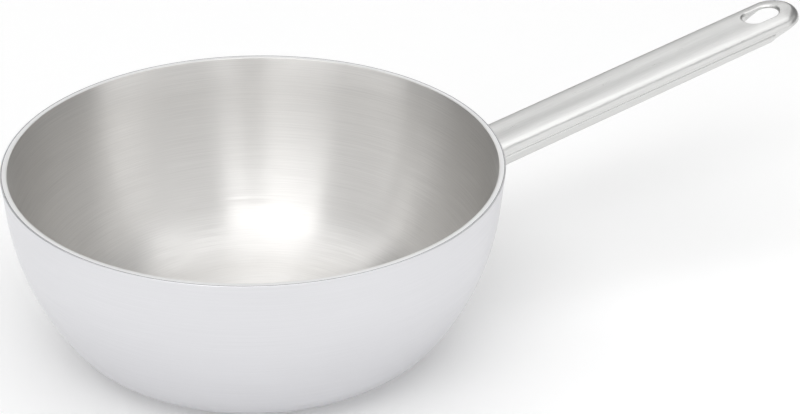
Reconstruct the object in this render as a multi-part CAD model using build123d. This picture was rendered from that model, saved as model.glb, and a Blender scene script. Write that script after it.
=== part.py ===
from build123d import *

import os
from math import asin, atan2, cos, radians, sin, sqrt, tan

# A saucier pan: a flared bowl of five-ply clad steel, and a hollow handle pressed in two
# halves, welded together along its sides and welded to the wall.
# Millimetres and degrees. +Z is up, the origin is the middle of the flat base where it
# stands on the cooker, and the handle points along +X.

# Bowl, measured on its outside apart from the rim's bore
rim_bore = 240.0
bowl_height = 98.0
wall_flare = 5.4
rim_wall_length = 18.0
belly_radius = 129.0
base_corner_radius = 45.0
rim_edge_break = 0.3

# Plies, from the food side outwards
cooking_ply_thickness = 0.6
inner_bond_thickness = 0.3
core_thickness = 1.6
outer_bond_thickness = 0.3
magnetic_ply_thickness = 0.5

# Handle: where it leaves the wall, its outline seen from above, and its depth at the seam
handle_rise = 10.0
handle_root_height = 67.7
handle_length = 218.5
handle_root_width = 28.6
handle_tip_width = 30.4
handle_top_height = 6.4
handle_root_depth = 7.6
handle_tip_depth = 5.6

# Handle: the form of its section
handle_sheet = 2.0
top_draft = 10.0
bottom_draft = 14.0
top_crown_radius = 60.0
top_corner_radius = 5.0
bottom_corner_radius = 4.0

# Handle: its side seam, and the skirt of the upper half past the end of the lower half
seam_gap = 0.4
seam_sink = 0.3
lower_shell_reach = 194.5
lower_end_slope = 45.0
skirt_depth = 2.9
skirt_reach = 207.0

# Hanging eye and the round bay under it
eye_length = 21.4
eye_width = 12.8
eye_rim_rounding = 1.5
eye_edge_break = 0.3
eye_from_tip = 22.2
eye_bay_radius = 12.5

# Root weld
weld_leg = 2.0
weld_bite = 0.6

# How far cutting shapes run past what they cut
overrun = 12.0

# Worked out from the sizes above
wall_thickness = (
    cooking_ply_thickness
    + inner_bond_thickness
    + core_thickness
    + outer_bond_thickness
    + magnetic_ply_thickness
)
flare = radians(wall_flare)
rim_radius = rim_bore / 2 + wall_thickness / cos(flare)

# Centres of the two arcs of the bowl's outside: the belly arc is tangent to the straight
# wall under the rim, and the corner arc is tangent to the belly arc and to the flat base
belly_x = rim_radius - rim_wall_length * sin(flare) - belly_radius * cos(flare)
belly_z = bowl_height - rim_wall_length * cos(flare) + belly_radius * sin(flare)
arc_gap = belly_radius - base_corner_radius
corner_z = base_corner_radius
corner_x = belly_x + sqrt(arc_gap**2 - (belly_z - corner_z) ** 2)
blend_angle = atan2(corner_z - belly_z, corner_x - belly_x)


def bowl_point(centre_x, centre_z, radius, angle):
    """The point of an arc of the bowl's section at an angle from the horizontal."""
    return (centre_x + radius * cos(angle), centre_z + radius * sin(angle))


def bowl_line(depth):
    """The bowl's section from the axis to the rim, at a depth inside its outer surface."""
    corner = base_corner_radius - depth
    belly = belly_radius - depth
    straight_down = radians(-90)
    foot = bowl_point(corner_x, corner_z, corner, straight_down)
    corner_middle = bowl_point(corner_x, corner_z, corner, (straight_down + blend_angle) / 2)
    blend = bowl_point(corner_x, corner_z, corner, blend_angle)
    belly_middle = bowl_point(belly_x, belly_z, belly, (blend_angle - flare) / 2)
    wall_foot = bowl_point(belly_x, belly_z, belly, -flare)
    rim = (rim_radius - depth / cos(flare), bowl_height)
    return [
        Line((0, depth), foot),
        ThreePointArc(foot, corner_middle, blend),
        ThreePointArc(blend, belly_middle, wall_foot),
        Line(wall_foot, rim),
    ]


def turned(section):
    """A closed section turned round the bowl's axis, from the side away from the handle."""
    return Rot(0, 0, 180) * revolve(Plane.XZ * make_face(section), Axis.Z)


def ply(depth, thickness):
    """One sheet of the clad wall, from a depth inside the outer surface inwards."""
    outside = bowl_line(depth)
    inside = bowl_line(depth + thickness)
    axis_edge = Line(outside[0] @ 0, inside[0] @ 0)
    rim_edge = Line(outside[-1] @ 1, inside[-1] @ 1)
    return turned(outside + inside + [axis_edge, rim_edge])


def rim_edges(sheet):
    """The two circles of a ply's ground edge, smallest first."""
    circles = sheet.edges().filter_by(GeomType.CIRCLE)
    return circles.group_by(Axis.Z)[-1].sort_by(SortBy.RADIUS)


def wall_at(height):
    """The radius of the bowl's outside at a height, and how far the wall faces down there."""
    straight_from = bowl_height - rim_wall_length * cos(flare)
    blend_height = belly_z + belly_radius * sin(blend_angle)
    if height > straight_from:
        return rim_radius - (bowl_height - height) * tan(flare), flare
    if height > blend_height:
        fall = asin((belly_z - height) / belly_radius)
        return belly_x + belly_radius * cos(fall), fall
    fall = asin((corner_z - height) / base_corner_radius)
    return corner_x + base_corner_radius * cos(fall), fall


# Bowl
magnetic_depth = magnetic_ply_thickness
outer_bond_depth = magnetic_depth + outer_bond_thickness
core_depth = outer_bond_depth + core_thickness
inner_bond_depth = core_depth + inner_bond_thickness

outer_magnetic_ply = ply(0, magnetic_ply_thickness)
outer_magnetic_ply = chamfer(rim_edges(outer_magnetic_ply)[-1], rim_edge_break)
outer_bond_ply = ply(magnetic_depth, outer_bond_thickness)
aluminium_core_ply = ply(outer_bond_depth, core_thickness)
inner_bond_ply = ply(core_depth, inner_bond_thickness)
cooking_surface_ply = ply(inner_bond_depth, cooking_ply_thickness)
cooking_surface_ply = chamfer(rim_edges(cooking_surface_ply)[0], rim_edge_break)

outside = bowl_line(0)
rim_centre = (0, bowl_height)
bowl_envelope = turned(
    outside + [Line(outside[-1] @ 1, rim_centre), Line(rim_centre, outside[0] @ 0)]
)

# Handle, in its own frame: +X runs along it from the wall, and Z = 0 is the seam
rise = radians(handle_rise)
root_x, wall_fall = wall_at(handle_root_height)
handle_frame = Plane(
    origin=(root_x, 0, handle_root_height),
    x_dir=(cos(rise), 0, sin(rise)),
    z_dir=(-sin(rise), 0, cos(rise)),
)
root_half = handle_root_width / 2
tip_radius = handle_tip_width / 2
tip_centre = handle_length - tip_radius
depth_fall = (handle_root_depth - handle_tip_depth) / handle_length


def half_width_at(x):
    """Half the handle's width at the seam: its straight sides splay towards the tip."""
    return root_half + (tip_radius - root_half) * x / tip_centre


def top_section(x, inset):
    """One side of the section over the seam: a drafted wall and a crown, rounded where they meet."""
    draft = radians(top_draft)
    height = handle_top_height - inset
    crown = top_crown_radius - inset
    foot = half_width_at(x) - inset / cos(draft)
    head = foot - height * tan(draft)
    walls = make_face(Polyline((0, 0), (foot, 0), (head, height), (0, height), close=True))
    section = walls & Pos(0, height - crown) * Circle(crown)
    shoulder = section.vertices().sort_by_distance((head, height))[0]
    return fillet(shoulder, max(top_corner_radius - inset, inset / 2))


def bottom_section(x, inset):
    """One side of the section under the seam: a drafted wall, a round corner and a flat bottom."""
    draft = radians(bottom_draft)
    depth = handle_root_depth - depth_fall * x - inset
    foot = half_width_at(x) - inset / cos(draft)
    head = foot - depth * tan(draft)
    section = make_face(Polyline((0, 0), (foot, 0), (head, -depth), (0, -depth), close=True))
    shoulder = section.vertices().sort_by_distance((head, -depth))[0]
    return fillet(shoulder, max(bottom_corner_radius - inset, inset / 2))


def handle_block(section, inset):
    """The handle's form from a section: drawn from root to tip on both sides, then round the tip."""
    across = Plane(origin=(0, 0, 0), x_dir=(0, 1, 0), z_dir=(1, 0, 0))
    root = across.offset(-overrun) * section(-overrun, inset)
    tip = across.offset(tip_centre) * section(tip_centre, inset)
    side = loft([root, tip], ruled=True)
    round_end = revolve(tip, Axis((tip_centre, 0, 0), (0, 0, -1)), 180)
    return side + mirror(side, about=Plane.XZ) + round_end


def side_prism(points):
    """A block as wide as the handle and more, with its outline seen from the side."""
    face = Plane.XZ * make_face(Polyline(*points, close=True))
    return extrude(face, amount=handle_tip_width, both=True)


near_end = overrun * 2
far_end = handle_length + overrun


def handle_solid(inset):
    """The whole handle with no seam, or its hollow where it is inset."""
    return handle_block(top_section, inset) + handle_block(bottom_section, inset)


handle_form = handle_solid(0)
handle_hollow = handle_solid(handle_sheet)
handle_skin = handle_form - handle_hollow

# The parting between the halves, seen from the side
half_gap = seam_gap / 2
above = handle_top_height + overrun
below = handle_root_depth + overrun


def side_band(low, high):
    """The part of the handle between two heights, as far out as the lower half reaches."""
    reach = lower_shell_reach
    return side_prism([(-near_end, low), (reach, low), (reach, high), (-near_end, high)])


upper_band = side_prism(
    [
        (-near_end, half_gap),
        (lower_shell_reach, half_gap),
        (lower_shell_reach, -skirt_depth),
        (skirt_reach, half_gap),
        (far_end, half_gap),
        (far_end, above),
        (-near_end, above),
    ]
)
lower_band = side_prism(
    [
        (-near_end, -half_gap),
        (lower_shell_reach, -half_gap),
        (lower_shell_reach, -skirt_depth),
        (lower_shell_reach - (below - skirt_depth) / tan(radians(lower_end_slope)), -below),
        (-near_end, -below),
    ]
)

# Hanging eye, and the round end of the lower half that leaves the eye clear
eye_x = handle_length - eye_from_tip
eye = Pos(eye_x, 0, 0) * extrude(SlotOverall(eye_length, eye_width), amount=above)


def eye_bay(radius):
    """The round-ended space under the eye, open to the tip and through the full depth."""
    round_end = Cylinder(radius, above + below)
    open_end = Box(
        eye_from_tip + overrun,
        radius * 2,
        above + below,
        align=(Align.MIN, Align.CENTER, Align.CENTER),
    )
    return Pos(eye_x, 0, 0) * (round_end + open_end)


def eye_rims(shell):
    """The edges round the eye in the upper half's sheet, lowest first."""
    rims = shell.edges().filter_by(
        lambda edge: abs(edge.center().X - eye_x) < eye_length / 2 + eye_edge_break
        and abs(edge.center().Y) < eye_width / 2 + eye_edge_break
        and edge.length > handle_sheet * 2
    )
    return rims.sort_by(Axis.Z)


bay = eye_bay(eye_bay_radius)
upper_shell = (handle_skin & upper_band) - eye
rims_a_side = len(eye_rims(upper_shell)) // 2
upper_shell = chamfer(eye_rims(upper_shell)[:rims_a_side], eye_edge_break)
upper_shell = fillet(eye_rims(upper_shell)[-rims_a_side:], eye_rim_rounding)

end_wall = handle_hollow & eye_bay(eye_bay_radius + handle_sheet) & side_band(-below, above)
lower_shell = (handle_skin & lower_band) + end_wall - bay

seam = (handle_skin & handle_solid(seam_sink) & side_band(-half_gap, half_gap)) - bay

# Root weld: a bead with a flat sloping face that runs round the handle on the wall. It is
# drawn between two outlines in planes parallel to the wall where the handle meets it
slant = rise + wall_fall
weld_frame = Plane(
    origin=handle_frame.origin,
    x_dir=(sin(wall_fall), 0, cos(wall_fall)),
    z_dir=(cos(wall_fall), 0, -sin(wall_fall)),
)


def weld_outline(lift):
    """The bead's outline at a height over the wall, which narrows as fast as it rises."""
    spread = weld_leg - lift
    depth = (handle_top_height + handle_root_depth) / cos(slant)
    middle = (handle_top_height - handle_root_depth) / 2 / cos(slant)
    outline = RectangleRounded(
        depth + spread * 2,
        handle_root_width + spread * 2,
        top_corner_radius + spread,
    )
    return weld_frame.offset(lift) * Pos(middle + lift * tan(slant), 0) * outline


weld_cone = loft([weld_outline(-weld_leg), weld_outline(weld_leg + weld_bite)], ruled=True)
root_weld = weld_cone - bowl_envelope - handle_frame.location * handle_form

nodes = {
    "cooking_surface_ply": cooking_surface_ply,
    "inner_bond_ply": inner_bond_ply,
    "aluminium_core_ply": aluminium_core_ply,
    "outer_bond_ply": outer_bond_ply,
    "outer_magnetic_ply": outer_magnetic_ply,
    "handle_upper_shell": handle_frame.location * upper_shell - bowl_envelope,
    "handle_lower_shell": handle_frame.location * lower_shell - bowl_envelope,
    "handle_seam_weld": handle_frame.location * seam - bowl_envelope,
    "handle_root_weld": root_weld,
}

os.makedirs("parts", exist_ok=True)
for name, shape in nodes.items():
    export_step(shape, f"parts/{name}.step")
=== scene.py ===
from math import atan2, cos, pi, radians, sin, sqrt

import bpy
from mathutils import Matrix, Vector


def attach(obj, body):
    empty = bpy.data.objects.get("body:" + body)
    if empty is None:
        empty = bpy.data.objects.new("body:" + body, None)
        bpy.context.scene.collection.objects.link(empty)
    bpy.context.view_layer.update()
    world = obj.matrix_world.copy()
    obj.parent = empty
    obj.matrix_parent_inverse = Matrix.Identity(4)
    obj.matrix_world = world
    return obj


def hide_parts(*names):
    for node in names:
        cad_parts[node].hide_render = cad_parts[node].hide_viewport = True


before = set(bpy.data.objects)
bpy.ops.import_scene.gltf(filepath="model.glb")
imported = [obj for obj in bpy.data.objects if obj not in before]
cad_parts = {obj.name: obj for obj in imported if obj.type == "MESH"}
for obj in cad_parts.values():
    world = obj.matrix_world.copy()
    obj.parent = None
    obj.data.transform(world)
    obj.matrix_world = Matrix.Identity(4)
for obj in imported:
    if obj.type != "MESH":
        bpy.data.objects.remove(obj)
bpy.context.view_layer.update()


# The lining: the stainless ply that food touches. The clad disc is deep drawn to shape, its
# rim is ground flat, and the inside is brushed in circles while the bowl turns.
rim_height = 0.098
rim_bore_radius = 0.120
wall_flare = radians(5.4)
straight_wall_length = 0.018
belly_radius = 0.129
corner_radius = 0.045
lining_thickness = 0.0006
inner_bond_thickness = 0.0003
core_thickness = 0.0016
outer_bond_thickness = 0.0003
skin_thickness = 0.0005
rim_rounding = 0.0003
steps_round = 288
corner_steps = 14
belly_steps = 18
rim_steps = 4
merge_reach = 1e-6
bowl_smooth_angle = radians(35)

wall_thickness = (
    lining_thickness + inner_bond_thickness + core_thickness + outer_bond_thickness + skin_thickness
)
rim_radius = rim_bore_radius + wall_thickness / cos(wall_flare)
belly_x = rim_radius - straight_wall_length * sin(wall_flare) - belly_radius * cos(wall_flare)
belly_z = rim_height - straight_wall_length * cos(wall_flare) + belly_radius * sin(wall_flare)
corner_x = belly_x + sqrt((belly_radius - corner_radius) ** 2 - (belly_z - corner_radius) ** 2)
blend_angle = atan2(corner_radius - belly_z, corner_x - belly_x)
section_y = Vector((0, 1, 0))


def start_section(name, x, z):
    """A new mesh of one point in the plane of the section, in edit mode."""
    bpy.ops.object.select_all(action="DESELECT")
    bpy.ops.mesh.primitive_plane_add(size=rim_rounding, location=(x, 0, z))
    piece = bpy.context.object
    piece.name = piece.data.name = name
    bpy.ops.object.transform_apply(location=True)
    bpy.ops.object.mode_set(mode="EDIT")
    bpy.ops.mesh.merge(type="CENTER")
    return piece


def pen():
    """Where the one selected point of the section is."""
    bpy.context.object.update_from_editmode()
    return next(v.co.copy() for v in bpy.context.object.data.vertices if v.select)


def line_to(x, z):
    """Carries the section on with a straight line."""
    bpy.ops.mesh.extrude_vertices_move(
        TRANSFORM_OT_translate={"value": Vector((x, 0, z)) - pen()}
    )


def arc_by(centre_x, centre_z, turn, steps):
    """Carries the section on round a centre; a positive turn is anticlockwise."""
    axis = section_y if turn > 0 else -section_y
    bpy.ops.mesh.spin(
        steps=steps, angle=abs(turn), center=(centre_x, 0, centre_z), axis=axis, use_auto_merge=False
    )


def bowl_ply(name, depth, thickness, inner_rounding=0, outer_rounding=0):
    """One ply of the bowl: its section is drawn up the outside, over the rim and back down."""
    piece = start_section(name, 0, depth)
    for under, way in ((depth, 1), (depth + thickness, -1)):
        wall_x = rim_radius - under / cos(wall_flare)
        rounding = outer_rounding if way > 0 else inner_rounding
        steps = [
            (corner_x, corner_radius, blend_angle + pi / 2, corner_steps),
            (belly_x, belly_z, -wall_flare - blend_angle, belly_steps),
        ]
        if way > 0:
            line_to(corner_x, under)
            for centre_x, centre_z, turn, count in steps:
                arc_by(centre_x, centre_z, turn, count)
            if rounding:
                centre_x = wall_x - (rounding + rounding * sin(wall_flare)) / cos(wall_flare)
                line_to(
                    centre_x + rounding * cos(wall_flare),
                    rim_height - rounding - rounding * sin(wall_flare),
                )
                arc_by(centre_x, rim_height - rounding, pi / 2 + wall_flare, rim_steps)
            else:
                line_to(wall_x, rim_height)
        else:
            if rounding:
                centre_x = wall_x + (rounding - rounding * sin(wall_flare)) / cos(wall_flare)
                line_to(centre_x, rim_height)
                arc_by(centre_x, rim_height - rounding, pi / 2 - wall_flare, rim_steps)
            else:
                line_to(wall_x, rim_height)
            line_to(
                belly_x + (belly_radius - under) * cos(wall_flare),
                belly_z - (belly_radius - under) * sin(wall_flare),
            )
            for centre_x, centre_z, turn, count in reversed(steps):
                arc_by(centre_x, centre_z, -turn, count)
            line_to(0, under)
    bpy.ops.mesh.select_all(action="SELECT")
    bpy.ops.mesh.spin(
        steps=steps_round, angle=2 * pi, center=(0, 0, 0), axis=(0, 0, 1), use_auto_merge=True
    )
    bpy.ops.mesh.select_all(action="SELECT")
    bpy.ops.mesh.remove_doubles(threshold=merge_reach)
    bpy.ops.mesh.normals_make_consistent(inside=False)
    bpy.ops.object.mode_set(mode="OBJECT")
    bpy.ops.object.shade_smooth_by_angle(angle=bowl_smooth_angle)
    return piece


def new_finish(name, colour, roughness):
    """A metal finish, and its shader with an even colour and roughness."""
    finish = bpy.data.materials.new(name)
    finish.use_nodes = True
    shader = finish.node_tree.nodes["Principled BSDF"]
    shader.inputs["Base Color"].default_value = (*colour, 1)
    shader.inputs["Roughness"].default_value = roughness
    shader.inputs["Metallic"].default_value = 1
    return finish, shader


def feed(finish, node, inputs):
    """Gives a node its inputs: another node's socket is linked, a number or colour is written."""
    for name, value in inputs.items():
        if isinstance(value, bpy.types.NodeSocket):
            finish.node_tree.links.new(value, node.inputs[name])
        else:
            node.inputs[name].default_value = value


def add_node(finish, kind, inputs, **settings):
    """A new node in a finish, with its settings and inputs; gives its outputs."""
    node = finish.node_tree.nodes.new("ShaderNode" + kind)
    for name, value in settings.items():
        setattr(node, name, value)
    feed(finish, node, inputs)
    return node.outputs


def brushed_in_circles(finish, lines_per_metre, place):
    """Fine lines that run round the bowl's axis, as a brush or a grinding belt leaves them."""
    flat = add_node(finish, "VectorMath", {0: place, 1: (1, 1, 0)}, operation="MULTIPLY")["Vector"]
    reach = add_node(finish, "VectorMath", {0: flat}, operation="LENGTH")["Value"]
    rise = add_node(finish, "SeparateXYZ", {0: place})["Z"]
    way_out = add_node(finish, "Math", {0: reach, 1: rise}, operation="ADD")[0]
    lines = add_node(finish, "Math", {0: way_out, 1: lines_per_metre}, operation="MULTIPLY")[0]
    round_place = add_node(finish, "VectorMath", {0: flat}, operation="NORMALIZE")["Vector"]
    around = add_node(finish, "SeparateXYZ", {0: round_place})
    line_place = add_node(finish, "CombineXYZ", {0: around["X"], 1: around["Y"], 2: lines})[0]
    return add_node(finish, "TexNoise", {"Vector": line_place, "Scale": 3, "Detail": 4})["Fac"]


def lay_grain(finish, shader, grain, colour, shade_change, roughness, roughness_change):
    """Lets a grain lighten and darken a colour a little, and smooth and roughen it."""
    shade, gloss = (
        add_node(finish, "MapRange", {
            "Value": grain, "From Min": 0.25, "From Max": 0.75, "To Min": low, "To Max": high,
        })[0]
        for low, high in (
            (1 - shade_change, 1 + shade_change),
            (roughness + roughness_change, roughness - roughness_change),
        )
    )
    tint = add_node(finish, "VectorMath", {0: colour, "Scale": shade}, operation="SCALE")["Vector"]
    feed(finish, shader, {"Base Color": tint, "Roughness": gloss})


def cut_grain(finish, shader, grain, strength, depth):
    """Cuts a grain into the surface."""
    cut = add_node(finish, "Bump", {"Strength": strength, "Distance": depth, "Height": grain})
    feed(finish, shader, {"Normal": cut[0]})


lining_colour = (0.805, 0.795, 0.78)
lining_roughness = 0.37
lining_roughness_change = 0.09
lining_shade_change = 0.045
lining_lines_per_metre = 700
lining_line_strength = 0.06
lining_line_depth = 0.0002
lining_sheen_stretch = 0.97
quarter_turn = 0.25
lining_depth = skin_thickness + outer_bond_thickness + core_thickness + inner_bond_thickness

lining = bowl_ply("lining", lining_depth, lining_thickness, inner_rounding=rim_rounding)
lining_steel, shader = new_finish("brushed lining", lining_colour, lining_roughness)
place = add_node(lining_steel, "TexCoord", {})["Object"]
lines = brushed_in_circles(lining_steel, lining_lines_per_metre, place)
lay_grain(
    lining_steel, shader, lines,
    lining_colour, lining_shade_change, lining_roughness, lining_roughness_change,
)
cut_grain(lining_steel, shader, lines, lining_line_strength, lining_line_depth)
tangent = add_node(
    lining_steel, "VectorMath", {0: (0, 0, 1), 1: place}, operation="CROSS_PRODUCT"
)["Vector"]
feed(lining_steel, shader, {
    "Tangent": tangent, "Anisotropic": lining_sheen_stretch, "Anisotropic Rotation": quarter_turn,
})
lining.data.materials.append(lining_steel)
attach(lining, "root")
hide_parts("cooking_surface_ply")


# The bonds and the core: sheets of aluminium between the two steels, rolled into one with them.
# They show only on the rim, where a belt has ground all five to one flat ring. The outer bond is
# painted dark grey there, painted shade for its slight recess: a thin line just inside the skin's
# edge.
rim_roughness = 0.35
rim_roughness_change = 0.08
rim_shade_change = 0.06
rim_lines_per_metre = 2500
depth = skin_thickness
for name, node, thickness, colour, slot in (
    # The outer bond's dark grey is painted shade, for the line where it sits a little recessed.
    ("outer_bond", "outer_bond_ply", outer_bond_thickness, (0.25, 0.25, 0.26), "bond_aluminium"),
    ("core", "aluminium_core_ply", core_thickness, (0.86, 0.86, 0.86), "core_aluminium"),
    ("inner_bond", "inner_bond_ply", inner_bond_thickness, (0.8, 0.8, 0.8), "bond_aluminium"),
):
    ply = bowl_ply(name, depth, thickness)
    depth += thickness
    ground_metal, shader = new_finish("ground " + name, colour, rim_roughness)
    place = add_node(ground_metal, "TexCoord", {})["Object"]
    lines = brushed_in_circles(ground_metal, rim_lines_per_metre, place)
    lay_grain(
        ground_metal, shader, lines, colour, rim_shade_change, rim_roughness, rim_roughness_change
    )
    ply.data.materials.append(ground_metal)
    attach(ply, "root")
    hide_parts(node)


# The skin: the magnetic stainless ply outside, drawn with the others. A fine abrasive pad held to
# the turning bowl gives it an even satin with faint rings, and the polishing of the rim leaves its
# upper edge a little smoother. That edge is also painted a little lighter, a painted highlight.
skin_colour = (0.73, 0.73, 0.75)
skin_roughness = 0.35
skin_roughness_change = 0.05
skin_shade_change = 0.015
fine_cut_strength = 0.03
fine_cut_depth = 0.0001
satin_lines_per_metre = 600
polished_highlit_edge = 0.0012


def smooth_and_highlight_edges(finish, grain, reach):
    """A grain that gets smoother towards the edges, as wear leaves them, and lighter there as a
    painted highlight, as far in as the reach.
    """
    rounded = add_node(finish, "Bevel", {"Radius": reach}, samples=4)[0]
    true_way = add_node(finish, "NewGeometry", {})["Normal"]
    match = add_node(finish, "VectorMath", {0: rounded, 1: true_way}, operation="DOT_PRODUCT")["Value"]
    # Lighter towards the edges is a painted highlight; smoother there is wear.
    wear_and_highlight = add_node(finish, "MapRange", {
        "Value": match, "From Min": 0.998, "From Max": 0.93, "To Min": 0.0, "To Max": 0.5,
    })[0]
    return add_node(finish, "Math", {0: grain, 1: wear_and_highlight}, operation="ADD")[0]


skin = bowl_ply("skin", 0, skin_thickness, outer_rounding=rim_rounding)
skin_steel, shader = new_finish("satin skin", skin_colour, skin_roughness)
place = add_node(skin_steel, "TexCoord", {})["Object"]
rings = brushed_in_circles(skin_steel, satin_lines_per_metre, place)
# The rim's edge is painted a little lighter here, a painted highlight, and made smoother.
worn_and_highlit = smooth_and_highlight_edges(skin_steel, rings, polished_highlit_edge)
lay_grain(
    skin_steel, shader, worn_and_highlit, skin_colour, skin_shade_change, skin_roughness, skin_roughness_change
)
cut_grain(skin_steel, shader, rings, fine_cut_strength, fine_cut_depth)
skin.data.materials.append(skin_steel)
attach(skin, "root")
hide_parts("outer_magnetic_ply")


# The handle's upper half: stainless sheet, pressed to a nearly flat top with sides turned down,
# and pierced with the hanging eye. It is polished to a satin with the strokes along it, and hands
# and the polishing wheel have smoothed its edges. The edges are also painted lighter, a painted
# highlight.
handle_rise = radians(10)
handle_colour = (0.72, 0.72, 0.71)
handle_roughness = 0.33
handle_roughness_change = 0.06
handle_shade_change = 0.04
strokes_along = 60
strokes_across = 1600
handle_wear_and_highlight = 0.0015
facet_merge_reach = 1e-5
handle_smooth_angle = radians(30)
flat_face_weight = 80


def joined_copy(name, node):
    """A smooth piece over a CAD node: a copy of its facets, joined at their shared points."""
    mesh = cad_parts[node].data.copy()
    mesh.name = name
    mesh.materials.clear()
    piece = bpy.data.objects.new(name, mesh)
    bpy.context.collection.objects.link(piece)
    bpy.ops.object.select_all(action="DESELECT")
    piece.select_set(True)
    bpy.context.view_layer.objects.active = piece
    bpy.ops.object.mode_set(mode="EDIT")
    bpy.ops.mesh.select_all(action="SELECT")
    bpy.ops.mesh.remove_doubles(threshold=facet_merge_reach)
    bpy.ops.object.mode_set(mode="OBJECT")
    bpy.ops.object.shade_smooth_by_angle(angle=handle_smooth_angle)
    bpy.ops.object.modifier_add(type="WEIGHTED_NORMAL")
    evener = piece.modifiers[-1]
    evener.mode = "FACE_AREA"
    evener.weight = flat_face_weight
    evener.keep_sharp = True
    bpy.ops.object.modifier_apply(modifier=evener.name)
    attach(piece, "root")
    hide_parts(node)
    return piece


def stroked_finish(name, colour, roughness, shade_change):
    """A finish with fine polishing strokes along the handle, smoother towards its edges and painted
    lighter there, a painted highlight.
    """
    finish, shader = new_finish(name, colour, roughness)
    place = add_node(finish, "TexCoord", {})["Object"]
    along = add_node(finish, "Mapping", {"Vector": place, "Rotation": (0, handle_rise, 0)})[0]
    strokes = add_node(finish, "VectorMath", {
        0: along, 1: (strokes_along, strokes_across, strokes_across),
    }, operation="MULTIPLY")["Vector"]
    grain = add_node(finish, "TexNoise", {"Vector": strokes, "Scale": 1, "Detail": 3})["Fac"]
    # The edges are painted lighter, a painted highlight, and made smoother.
    worn_and_highlit = smooth_and_highlight_edges(finish, grain, handle_wear_and_highlight)
    lay_grain(finish, shader, worn_and_highlit, colour, shade_change, roughness, handle_roughness_change)
    cut_grain(finish, shader, grain, fine_cut_strength, fine_cut_depth)
    return finish


upper_half = joined_copy("upper_half", "handle_upper_shell")
upper_half.data.materials.append(
    stroked_finish("satin upper half", handle_colour, handle_roughness, handle_shade_change)
)


# The handle's lower half: a shallower pressing of the same sheet, welded up under the first and
# polished with it. It ends just short of the tip, on a slant.
lower_half = joined_copy("lower_half", "handle_lower_shell")
lower_half.data.materials.append(
    stroked_finish("satin lower half", handle_colour, handle_roughness, handle_shade_change)
)


# The seam weld: the thin filler between the two halves, ground back flush. It is painted darker
# than the sheet, painted shade for the fine groove along each side of the handle.
# The weld's dark grey is painted shade of the groove at the seam.
seam_painted_shade_colour = (0.5, 0.5, 0.5)
seam_roughness = 0.4
weld_shade_change = 0.08

seam_weld = joined_copy("seam_weld", "handle_seam_weld")
seam_weld.data.materials.append(
    stroked_finish("ground seam weld, painted shade", seam_painted_shade_colour, seam_roughness, weld_shade_change)
)


# The root weld: a small fillet bead that ties the handle's root to the skin all round. It is
# smoothed by hand, so it is a little duller and less even than the sheet.
root_colour = (0.66, 0.66, 0.67)
root_roughness = 0.42

root_weld = joined_copy("root_weld", "handle_root_weld")
root_weld.data.materials.append(
    stroked_finish("smoothed root weld", root_colour, root_roughness, weld_shade_change)
)


# The studio: a white floor that runs out of sight, and an even, plain room.
floor_size = 12
floor_colour = (0.9, 0.9, 0.9, 1)
room_colour = (1, 1, 1, 1)
floor_glow = 0.12
room_level = 0.2

bpy.ops.object.select_all(action="DESELECT")
bpy.ops.mesh.primitive_plane_add(size=floor_size)
floor = bpy.context.object
floor.name = "floor"
floor_paint = bpy.data.materials.new("white floor")
floor_paint.use_nodes = True
floor_paint.node_tree.nodes.remove(floor_paint.node_tree.nodes["Principled BSDF"])
matt = add_node(floor_paint, "BsdfDiffuse", {"Color": floor_colour})[0]
seen = add_node(floor_paint, "LightPath", {})
shown = seen["Is Camera Ray"]
for ray in ("Is Glossy Ray", "Is Transmission Ray"):
    shown = add_node(floor_paint, "Math", {0: shown, 1: seen[ray]}, operation="MAXIMUM")[0]
glow = add_node(floor_paint, "Math", {0: shown, 1: floor_glow}, operation="MULTIPLY")[0]
lit = add_node(floor_paint, "Emission", {"Strength": glow})[0]
both = add_node(floor_paint, "AddShader", {0: matt, 1: lit})[0]
feed(floor_paint, floor_paint.node_tree.nodes["Material Output"], {"Surface": both})
floor.data.materials.append(floor_paint)

world = bpy.data.worlds.new("room")
bpy.context.scene.world = world
world.use_nodes = True
world.node_tree.nodes["Background"].inputs["Color"].default_value = room_colour
world.node_tree.nodes["Background"].inputs["Strength"].default_value = room_level

# The lights: seven soft boxes round the pan, all facing it. Each has a turn from the front towards
# the handle, a rise, a width and a height, and how bright its cloth is beside white paper's 1. The
# camera stands at a turn of 333, so the two front lights are to its left and right.
light_reach = 3
for name, turn, rise, width, height, brightness in (
    ("top_light", 0, 90, 4.5, 4.5, 1.2),
    ("key_light", 320, 50, 2.5, 1.2, 1.9),
    ("front_left_light", 290, 20, 4, 2, 0.9),
    ("front_right_light", 15, 20, 4, 2, 0.9),
    ("right_light", 70, 30, 2, 1, 0.4),
    ("left_light", 235, 30, 1, 2, 0.5),
    ("back_light", 150, 30, 2, 1, 1.0),
):
    lamp = bpy.data.lights.new(name, "AREA")
    lamp.shape = "RECTANGLE"
    lamp.size = width
    lamp.size_y = height
    lamp.energy = brightness * pi * width * height
    box = bpy.data.objects.new(name, lamp)
    bpy.context.collection.objects.link(box)
    box.matrix_world = (
        Matrix.Rotation(radians(turn), 4, "Z")
        @ Matrix.Rotation(radians(90 - rise), 4, "X")
        @ Matrix.Translation((0, 0, light_reach))
    )

bpy.context.scene.view_settings.view_transform = "Standard"

# The camera stands in front and to the left, looking down over the rim.
camera_reach = 1.075
camera_height = 0.6485
camera_round = radians(27.24)
camera_yaw = radians(3.82)
camera_pitch = radians(28.22)
camera_roll = radians(0.46)
camera_lens = 110.75
camera_data = bpy.data.cameras.new("camera")
camera_data.lens = camera_lens
camera = bpy.data.objects.new("camera", camera_data)
bpy.context.collection.objects.link(camera)
camera.matrix_world = (
    Matrix.Rotation(-camera_round, 4, "Z")
    @ Matrix.Translation((0, -camera_reach, camera_height))
    @ Matrix.Rotation(-camera_yaw, 4, "Z")
    @ Matrix.Rotation(pi / 2 - camera_pitch, 4, "X")
    @ Matrix.Rotation(camera_roll, 4, "Z")
)
bpy.context.scene.camera = camera
